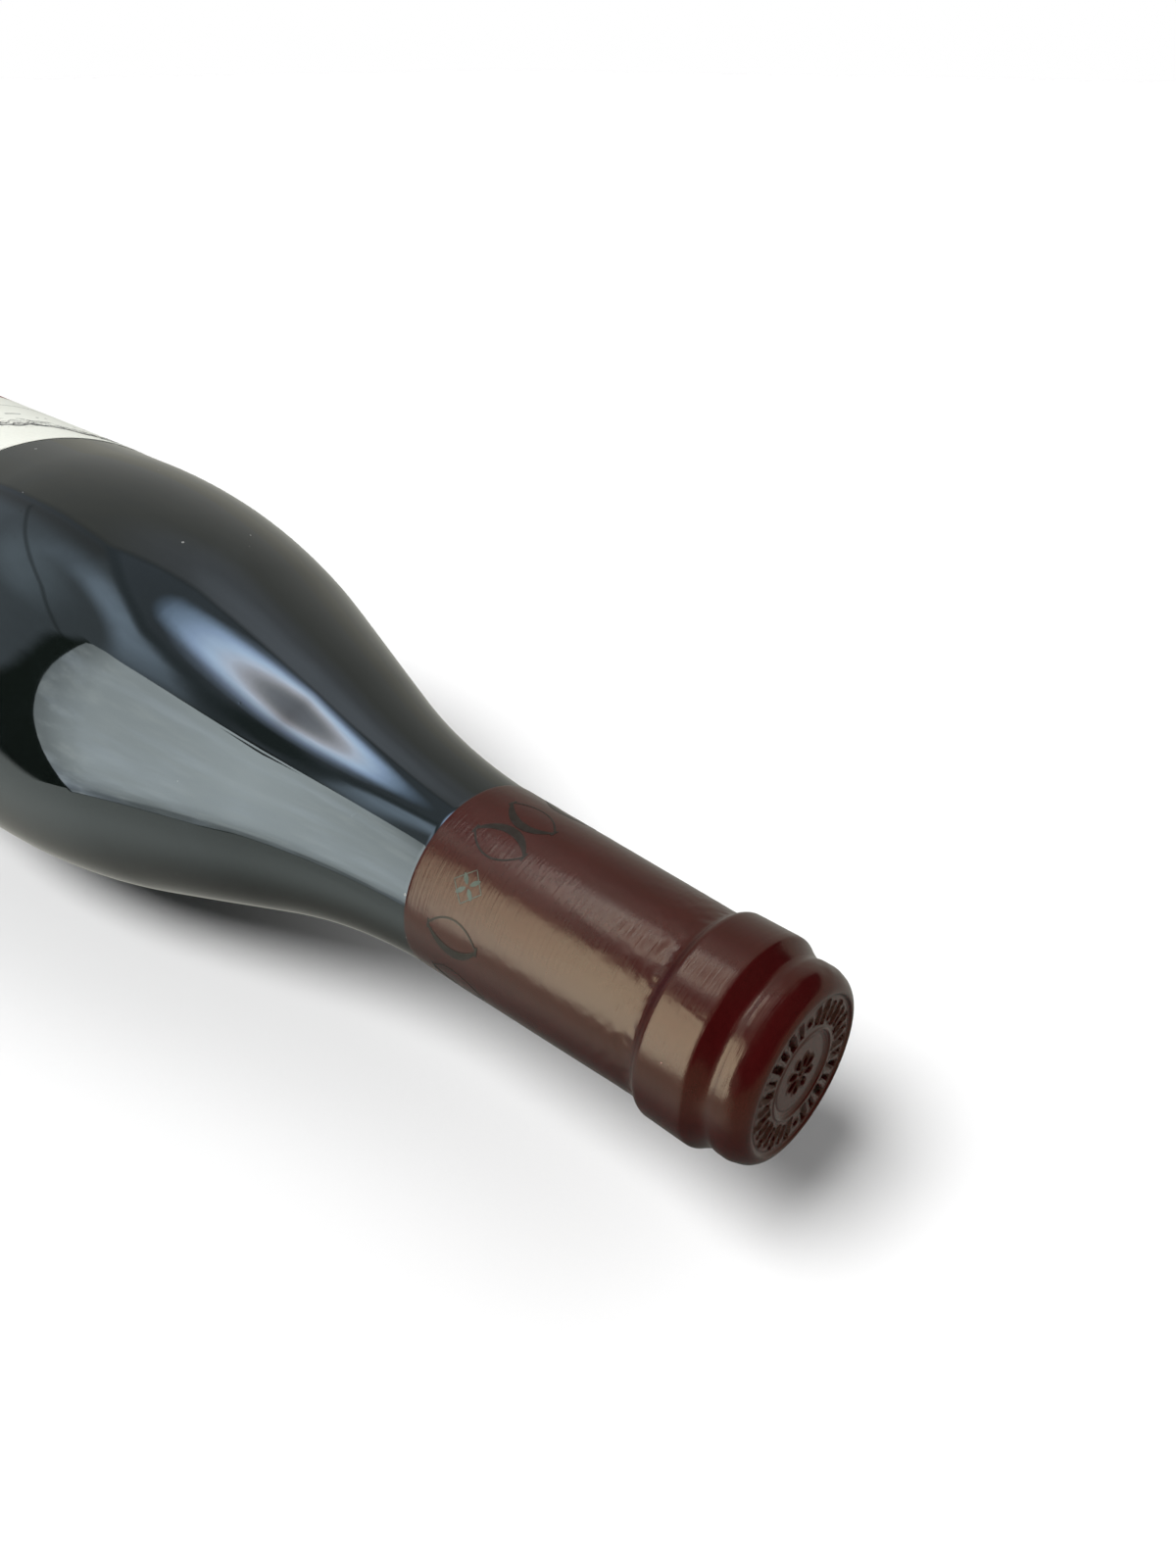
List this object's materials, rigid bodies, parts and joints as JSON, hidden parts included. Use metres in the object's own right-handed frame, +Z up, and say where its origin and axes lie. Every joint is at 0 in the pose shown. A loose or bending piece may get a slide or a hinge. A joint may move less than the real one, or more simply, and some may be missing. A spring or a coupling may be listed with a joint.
{
  "type": "wine bottle",
  "caption": "Dark glass wine bottle with sloping shoulders, burgundy capsule and cream label, lying on its side.",
  "frame": {"origin": "on the surface the bottle lies on, under the middle of the bottle", "axes": "+X along the bottle towards its mouth, +Z up"},
  "size_m": [0.296, 0.0822, 0.082],
  "materials": {
    "glass": "very dark green glass, full, glossy",
    "capsule": "satin burgundy foil",
    "label": "uncoated cream paper"
  },
  "bodies": {
    "root": {"bottle": "glass", "capsule": "capsule", "label": "label"}
  },
  "joints": []
}
